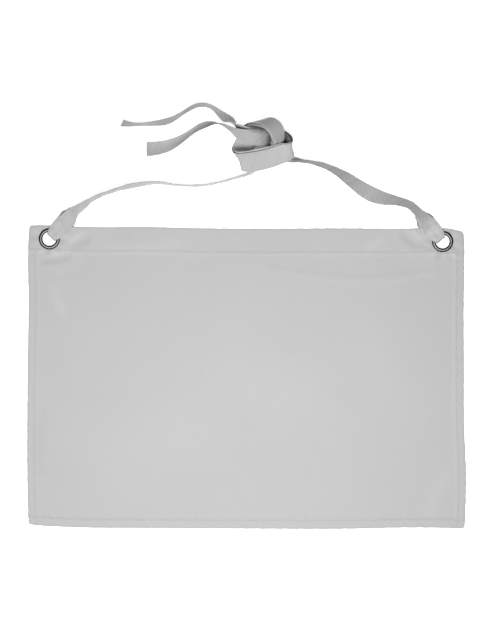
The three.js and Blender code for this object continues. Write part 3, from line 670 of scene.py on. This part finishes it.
knotRows = [
    (-0.67, 0.44, 0.13, 0.66, 2, 0.12, 1), (-0.3, 0.4, 0.1, 0.74, 2, 0.12, 1),
    (0.07, 0.36, 0.05, 0.8, 2, 0.1, 1), (0.48, 0.37, 0.02, 0.82, 1, 0.05, 0.92),
    (0.87, 0.35, 0.03, 0.87, 0, 0, 0.9), (1.1, 0.22, 0.04, 0.84, 0, 0, 0.94),
    (1.28, 0.12, 0.04, 0.8, 0, 0.02, 0.97), (1.4, 0.01, 0.02, 0.76, 1, 0, 1),
    (1.44, -0.12, -0.02, 0.74, 1, 0.05, 1), (1.39, -0.25, -0.06, 0.78, 2, 0.03, 1),
    (1.25, -0.34, -0.12, 0.83, 2, 0.07, 1), (1, -0.41, -0.2, 0.88, 2, 0.1, 1, 1, 0.03),
    (0.49, -0.59, -0.23, 0.9, 2, 0.12, 1, 1, 0.06), (-0.2, -0.75, -0.23, 0.92, 2, 0.14, 1, 1, 0.1),
    (-0.71, -0.83, -0.32, 0.87, 2, 0.15, 1, 1, 0.06), (-1.02, -0.81, -0.36, 0.83, 2, 0.07, 1, 1, 0.08),
    (-1.17, -0.69, -0.45, 0.8, 1, 0.04, 1, 1, 0.05), (-1.13, -0.52, -0.58, 0.77, 0, 0.02, 1, 1, 0.02),
    (-1.01, -0.27, -0.72, 0.68, 0, 0, 1), (-0.85, 0.04, -0.83, 0.55, 0, 0, 1),
    (-0.62, 0.41, -0.92, 0.37, 0, 0, 1), (-0.44, 0.74, -0.98, 0.17, 0, 0, 1),
    (-0.34, 0.98, -0.97, -0.1, 0, 0.12, 1), (-0.28, 1.08, -0.94, -0.2, 0, 0.5, 1),
    (-0.07, 1.12, -0.86, -0.28, 0, 0.84, 1), (0.28, 1.06, -0.66, -0.29, 0, 0.93, 1),
    (0.55, 0.88, -0.59, -0.33, 0, 0.93, 1), (0.74, 0.61, -0.59, -0.31, 0, 0.82, 0.97),
    (0.8, 0.35, -0.66, -0.2, 0, 0.72, 0.78), (0.76, 0.14, -0.7, -0.1, 0, 0.53, 0.63),
    (0.66, 0.03, -0.82, 0.16, 0, 0.3, 0.48), (0.6, -0.2, -0.93, 0.1, 0, 0.1, 0.46),
]
entryRows = [
    (-1.29, 0.73, 0.1, 0.32, 2, 0.1, 1, 2.8), (-0.97, 0.56, 0.12, 0.54, 2, 0.12, 1, 1.7),
]
leftExit = [
    (0.47, -0.3, -0.66, 0.72, 0, 0, 0.58), (0.1, -0.62, -0.68, 0.7, 0, 0, 0.54),
    (-0.24, -1.02, -0.6, 0.68, 0, 0, 0.42), (-0.49, -1.32, -0.42, 0.5, 0, 0, 0.34),
    (-0.7, -1.48, -0.1, 0.1, 0, 0, 0.36), (-0.98, -1.54, -0.03, 0.1, 0, 0, 0.66),
]
rightExit = [
    (0.72, -0.42, -0.95, -0.15, 1, 0.13, 0.42), (0.97, -0.61, -0.8, -0.55, 0, 0.05, 0.4),
    (1.3, -0.69, -0.35, -0.85, 0, 0, 0.4), (1.66, -0.74, -0.08, -0.3, 0, 0, 0.5),
    (2.05, -0.8, -0.05, -0.22, 0, 0, 0.8),
]
leftTail = [
    (0.247, 0.629, -0.2, -0.74, 0, 0, 1), (0.281, 0.637, -0.21, -0.69, 0, 0, 1),
    (0.313, 0.668, -0.27, -0.64, 0, 0, 1), (0.347, 0.731, -0.3, -0.56, 0, 0, 1),
    (0.383, 0.808, -0.2, -0.45, 0, 0, 1), (0.413, 0.834, 0, -0.24, 0, 0, 1),
    (0.439, 0.82, 0, 0.08, 0, 0.1, 1),
]
rightTail = [
    (0.184, 0.836, 0.14, -0.4, 0, 0, 1), (0.2, 0.825, 0.06, -0.28, 0, 0, 1),
    (0.22, 0.823, 0, -0.19, 0, 0, 1), (0.266, 0.831, 0, -0.25, 0, 0, 1),
    (0.298, 0.845, -0.12, -0.4, 0, 0, 1),
    (0.321, 0.876, -0.21, -0.4, 0, 0, 1), (0.347, 0.93, -0.17, -0.33, 0, 0, 1),
    (0.381, 0.984, 0, -0.25, 0, 0, 1), (0.414, 0.966, -0.09, -0.19, 0, 0, 1),
    (0.4385, 0.898, -0.2, -0.34, 0, 0.08, 1), (0.4575, 0.856, -0.26, -0.42, 0, 0.2, 1),
]
leftRun = [
    (0.45, 0.376, 0, 0.05, 0, 0, 1), (0.39, 0.339, 0, 0.05, 0, 0, 1), (0.33, 0.339, 0, 0.05, 0, 0, 1),
    (0.275, 0.361, 0, 0.1, 0, 0, 1), (0.213, 0.338, -0.03, 0.2, 0, 0, 1),
    (0.165, 0.299, -0.04, 0.12, 0, 0, 1), (0.114, 0.238, -0.08, 0.13, 0, 0, 1),
    (0.0865, 0.179, -0.2, 0.24, 0, 0, 1),
]
rightRun = [
    (0.7, 0.496, -0.06, -0.27, 0, 0, 1), (0.737, 0.438, -0.19, -0.41, 0, 0, 1),
    (0.769, 0.37, -0.31, -0.52, 0, 0, 1), (0.81, 0.282, -0.38, -0.66, 0, 0, 1),
    (0.85, 0.234, -0.18, -0.65, 0, 0, 1), (0.885, 0.215, -0.12, -0.42, 0, 0, 1),
    (0.916, 0.184, -0.27, -0.35, 0, 0, 1),
]
loopRows = [  # reach, width, lift, lean
    (0.2, 0.74, 1, 0), (0.32, 0.82, 1, 0), (0.46, 0.86, 1, 0.08), (0.61, 0.88, 0.86, 0.42),
    (0.78, 0.93, 0.5, 0.68), (0.97, 0.98, 0.1, 0.86),
]
bendTurns = [90, 60, 30, 0, -30, -60, -90]
holeSqueeze = 0.21
sewnRise = (0.64, 0.3)  # where the returning end rises to be sewn, and over what length
eyeletSpan = panel["width"] - 2 * panel["eyeletInset"]
layerStep = tape["thick"] + tape["gap"]
pairStep = tape["thick"] + tape["pairGap"]


def stationOf(row, x, y, pair):
    leanX, leanY, over, foot, gather = row[2:7]
    flat = min(leanX**2 + leanY**2, 1)
    across = np.array([leanX, leanY, math.sqrt(1 - flat)])
    across /= np.linalg.norm(across)
    low = over * pairStep + foot * tape["width"]
    slip = row[8] * tape["width"] if len(row) > 8 else 0.0
    return np.array([x, y, low, *across, gather * tape["width"], pair, 1.0, slip])


def knotStations(rows, together):
    x = (tape["knotAlong"] - 0.5) * eyeletSpan
    y = tape["knotUp"] * tape["rise"]
    wide = tape["width"]
    stations = []
    for row in rows:
        pair = row[7] if len(row) > 7 else 1
        stations.append(stationOf(row, x + row[0] * wide, y + row[1] * wide, together * pair))
    return stations


def runStations(rows):
    return [stationOf(row, (row[0] - 0.5) * eyeletSpan, row[1] * tape["rise"], 0) for row in rows]


def loopStations(middle, heading):
    out = np.array([math.cos(heading), math.sin(heading)])
    cross = np.array([-out[1], out[0]])

    def station(reach, low, lean, width):
        at = middle[:2] + out * reach
        flat = cross * math.sqrt(1 - lean * lean)
        return np.array([*at, low, *flat, lean, width * tape["width"], 0.0, 0.0, 0.0])

    top = flangeOver + metal["seat"]
    stations = []
    for reach, width, lift, lean in reversed(loopRows):
        stations.append(station(reach * tape["sewn"], top * lift + layerStep * (1 - lift), lean, width))
    radius = top / 2
    for turn in bendTurns:
        angle = math.radians(turn)
        reach = tape["foldSet"] + tape["thick"] / 2 + radius - radius * math.cos(angle)
        level = radius + tape["thick"] / 2 * (1 - abs(math.sin(angle))) + radius * math.sin(angle)
        stations.append(station(reach, level, 0, loopRows[0][1] - holeSqueeze * math.cos(angle / 2)))
    return stations


def coarseStep(a, b):
    return tape["knotStep"] if a[7] + b[7] > 0 else tape["step"]


def fineStep(a, b):
    return tape["fine"]


def spread(rows, stepOf):  # a smooth line through the rows, by chord lengths
    def gap(a, b):
        return max(np.linalg.norm(b[:3] - a[:3]), 0.01)

    line = []
    for i in range(len(rows) - 1):
        second, third = rows[i], rows[i + 1]
        first = rows[i - 1] if i else 2 * second - third
        fourth = rows[i + 2] if i + 2 < len(rows) else 2 * third - second
        t1 = math.sqrt(gap(first, second))
        t2 = t1 + math.sqrt(gap(second, third))
        t3 = t2 + math.sqrt(gap(third, fourth))
        count = max(int(gap(second, third) / stepOf(second, third) + 0.5), 1)
        for j in range(count):
            at = t1 + (t2 - t1) * j / count
            a = first + (second - first) * at / t1
            b = second + (third - second) * (at - t1) / (t2 - t1)
            c = third + (fourth - third) * (at - t2) / (t3 - t2)
            d = a + (b - a) * at / t2
            e = b + (c - b) * (at - t1) / (t3 - t1)
            row = d + (e - d) * (at - t1) / (t2 - t1)
            row[2] = max(row[2], 0)
            row[8] = second[8] * third[8]
            line.append(row)
    line.append(rows[-1])
    return line


def relaxed(line):
    rows = np.array(line)
    for _ in range(tape["passes"]):
        share = rows[1:-1, 8:9] / 2
        middle = (rows[:-2] + rows[2:]) / 2
        rows[1:-1] = rows[1:-1] * (1 - share) + middle * share
    return rows


def framesOf(line, layer):
    rows = np.array(line)
    rough = rows[:, :3] + np.array([0, 0, 1]) * (rows[:, 6] * rows[:, 5] / 2)[:, None]
    along = np.concatenate([rough[1:2] - rough[:1], rough[2:] - rough[:-2], rough[-1:] - rough[-2:-1]])
    along /= np.linalg.norm(along, axis=1)[:, None]
    across = rows[:, 3:6] - along * np.sum(rows[:, 3:6] * along, 1)[:, None]
    across /= np.linalg.norm(across, axis=1)[:, None]
    normal = np.cross(along, across)
    half = (tape["thick"] + rows[:, 7] * pairStep) / 2
    middle = rows[:, :3].copy()
    middle[:, 2] += rows[:, 6] / 2 * np.abs(across[:, 2]) + half * np.abs(normal[:, 2])
    middle += normal * (layer * rows[:, 7] * pairStep / 2)[:, None]
    middle += across * (layer * rows[:, 9] / 2)[:, None]
    return middle, across, normal, rows[:, 6]


def returnFrames(frames, middle, heading):
    out = np.array([math.cos(heading), math.sin(heading), 0])
    cross = np.array([-out[1], out[0], 0])
    back = []
    for at, across, normal, width in list(zip(*frames))[::-1]:
        reach = np.dot(at - middle, out)
        if reach > tape["sewn"]:
            break
        if reach < loopRows[0][0] * tape["sewn"] or at[2] < flangeOver / 2 and reach < 30:
            continue
        joined = float(smooth((reach / tape["sewn"] - sewnRise[0]) / sewnRise[1]))
        sewn = at + normal * pairStep * (0.62 if joined > 0.5 else 1.0)
        under = np.array([*(middle + out * reach)[:2], tape["thick"] / 2])
        side = cross * (1 - joined) + across * joined
        facing = np.array([0, 0, 1]) * (1 - joined) - normal * joined
        back.append((
            under * (1 - joined) + sewn * joined, side / np.linalg.norm(side),
            facing / np.linalg.norm(facing), width,
        ))
    return back


uColumns = np.array([
    -1, -0.985, -0.955, -0.91, -0.86, -0.81, -0.72, -0.58, -0.4, -0.2,
    0, 0.2, 0.4, 0.58, 0.72, 0.81, 0.86, 0.91, 0.955, 0.985, 1,
])


tieShading = {  # millimetres from the free end, and the tone there: painted shade above 0, painted light below 0
    "left": [
        (0, -0.1), (35, -0.8), (95, -0.2), (118, 0.9), (150, 0.9),
        (190, 0), (730, 0), (790, 0.5), (900, 0.5), (960, 0),
    ],
    "right": [
        (0, -0.2), (40, -1), (95, -0.5), (115, 0.3), (160, -0.8), (195, 0.4), (240, 0),
        (650, 0.6), (730, 0), (790, -0.5), (860, 0.1), (906, -0.3), (950, 0),
    ],
}


def makeTie(name, stations, layer, side):
    middle, heading = eyelets[side]
    coarse = spread(stations + loopStations(middle, heading), coarseStep)
    line = spread(list(relaxed(coarse)), fineStep)
    front = framesOf(line, layer)
    back = returnFrames(front, middle, heading)
    both = zip(front, zip(*back))
    at, across, normal, width = [np.concatenate([np.array(a), np.array(b)]) for a, b in both]
    frontCount = len(front[0])
    inPair = np.array([row[7] > 0.5 for row in line] + [False] * (len(at) - frontCount))
    step = np.linalg.norm(np.diff(at, axis=0), axis=1)
    run = np.concatenate([[0], np.cumsum(step)])
    u = uColumns[None, :]
    s = run[:, None]
    seed = 3 if side == "left" else 7
    seamFar = np.abs(np.abs(u) - tape["seam"])
    half = tape["thick"] / 2 * (0.92 + 0.10 * smooth((np.abs(u) - 0.88) / 0.06))
    edge = np.clip((np.abs(u) - 0.955) / 0.045, 0, 1)
    half = half * (0.32 + 0.68 * np.sqrt(1 - edge**2))
    half = half - tape["groove"] * bell(seamFar, 0.035)
    endFar = np.minimum(s, 400)
    half = half + 0.25 * (1 - smooth((endFar - 6) / 2)) - 0.25 * bell(endFar - tape["endSeam"], 0.8)
    half = half * (0.45 + 0.55 * smooth(s / 1.4))
    inKnot = smooth((tape["width"] * 0.97 - width) / (tape["width"] * 0.4))[:, None]
    cockle = tape["cockle"] * (0.6 * wander(s + u * 9, 46, seed) + 0.4 * u * wander(s, 31, seed + 2))
    crimp = np.sin(2 * pi * (s + 4 * np.abs(u)) / 7.4 + 1.5 * wander(s, 40, seed)) * bell(seamFar, 0.3)
    crimp = tape["crimp"] * crimp * (0.6 + 0.4 * wander(s, 55, seed + 4))
    folds = inKnot * (0.9 * np.cos(2.2 * pi * u + 0.9 * wander(s, 60, seed)) - 0.2)
    nearFold = 1.0 - 0.8 * (np.arange(len(run)) >= frontCount - 12)[:, None]
    bow = (cockle + crimp + folds) * nearFold * smooth((s + 4) / 18)
    spot = at[:, None] + across[:, None] * (u * width[:, None] / 2)[:, :, None]
    over = spot + normal[:, None] * (bow + half)[:, :, None]
    under = spot + normal[:, None] * (bow - half)[:, :, None]
    over[:, :, 2] = np.maximum(over[:, :, 2], 0.05)
    under[:, :, 2] = np.maximum(under[:, :, 2], 0.03)
    rings, wide = over.shape[:2]
    loop = np.concatenate([over, under[:, ::-1]], 1) + origin
    around = 2 * wide
    index = np.arange(rings * around).reshape(rings, around)
    a, b = index[:-1], index[1:]
    quads = np.stack([a, np.roll(a, -1, 1), np.roll(b, -1, 1), b], -1).reshape(-1, 4).tolist()
    for ring, flip in ((index[0], True), (index[-1], False)):
        for k in range(wide - 1):
            cap = [ring[k], ring[k + 1], ring[around - 2 - k], ring[around - 1 - k]]
            quads.append([int(i) for i in (cap[::-1] if flip else cap)])
    uv = np.stack(np.broadcast_arrays(u * tape["width"] / 2, s), -1)
    uv = np.concatenate([uv, uv[:, ::-1] + np.array([60, 0])], 1).reshape(-1, 2)
    wear = -0.16 * bell(1 - np.abs(u), 0.03) * (0.7 + 0.3 * wander(s, 22, seed))
    crumple = wander(s + u * 6, 15, seed + 6) + wander(s * 0.8 - u * 9, 9, seed + 8)
    crumple = crumple * smooth((width - 18) / 10)[:, None] * np.where(inPair, 0.07, 0.24)[:, None]
    # Painted shade: the pair darkens as it runs into the knot, most under the arch, and its upper rim is
    # darker there too
    intoKnot = (at[:, 0] - (tape["knotAlong"] - 0.5) * eyeletSpan) / tape["width"]
    turnAt = int(np.argmax(np.where(inPair, intoKnot, -9)))  # where the pair turns back over itself
    entering = (np.arange(len(run)) < turnAt) * inPair
    underArchShade = tape["knotShadowTone"] * smooth((intoKnot + 1.3) / 2.0)
    underArchShade = underArchShade + tape["archShadowTone"] * smooth((intoKnot - 0.1) / 0.4)
    underArchShade = underArchShade * (1 - 0.6 * smooth((intoKnot - 1.1) / 0.2))
    rimShadow = tape["rimShadow"] * smooth((intoKnot + 0.9) / 0.4)[:, None] * bell(u - 1, 0.35)
    # painted shade and painted light along each tie
    paintedTones = np.interp(run, *zip(*tieShading[side]))[:, None]
    # the first term is painted shade in the seam grooves; the edge wear is real
    shade = 0.14 * bell(seamFar, 0.04) + wear + crumple + paintedTones
    shade = shade + (underArchShade[:, None] + rimShadow) * entering[:, None]
    shade = np.concatenate([shade, shade[:, ::-1]], 1).ravel()
    cloth = meshPiece(name + "Cloth", loop.reshape(-1, 3), quads, canvas, uv, shade)
    rows = []
    upward = normal[:, None] * np.ones((1, wide, 1))
    for seam in (-tape["seam"], tape["seam"]):
        column = int(np.argmin(np.abs(uColumns - seam)))
        rows.append(stitchesAlong(over[:, column] + origin, upward[:, column], 6.0))
        rows.append(stitchesAlong(under[:, column] + origin, -upward[:, column], 6.0))
    # The hem at the free end, and the two rows that sew the returning end down
    marks = [int(np.searchsorted(run, tape["endSeam"]))]
    reach = np.sum((at - middle) * np.array([math.cos(heading), math.sin(heading), 0]), 1)
    outer = [i for i in range(frontCount - 60, frontCount) if at[i, 2] > 6 or reach[i] > 30]
    for wanted in tape["sewnRows"]:
        marks.append(min(outer, key=lambda i: abs(reach[i] - wanted * tape["sewn"])))
    for mark in marks:
        for surface, way in ((over, 1), (under, -1)):
            path = surface[mark] + origin
            rows.append(stitchesAlong(path, way * upward[mark], 2.6))
    stitches = stitchPiece(name + "Stitches", rows)
    say(f"{name}: {run[-1]:.0f} mm long, {len(cloth.data.polygons)} faces")
    return cloth, stitches, run[-1]


def stationsOf(tail, leaving, run):
    knot = knotStations(entryRows + knotRows, 1) + knotStations(leaving, 0)
    return runStations(tail) + knot + runStations(run)


leftStations = stationsOf(leftTail, leftExit, leftRun)
rightStations = stationsOf(rightTail, rightExit, rightRun)
leftCloth, leftStitches, leftLength = makeTie("tieLeft", leftStations, 1, "left")
rightCloth, rightStitches, rightLength = makeTie("tieRight", rightStations, -1, "right")


# Every piece is tied to the frame

tiePieces = (leftCloth, leftStitches, rightCloth, rightStitches)
for piece in [panelCloth, panelStitches, *tiePieces, *fittings.values()]:
    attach(piece, "root")
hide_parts("panel")
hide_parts("tie_left")
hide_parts("tie_right")
for node, piece in fittings.items():
    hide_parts(node)

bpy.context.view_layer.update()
say("done")
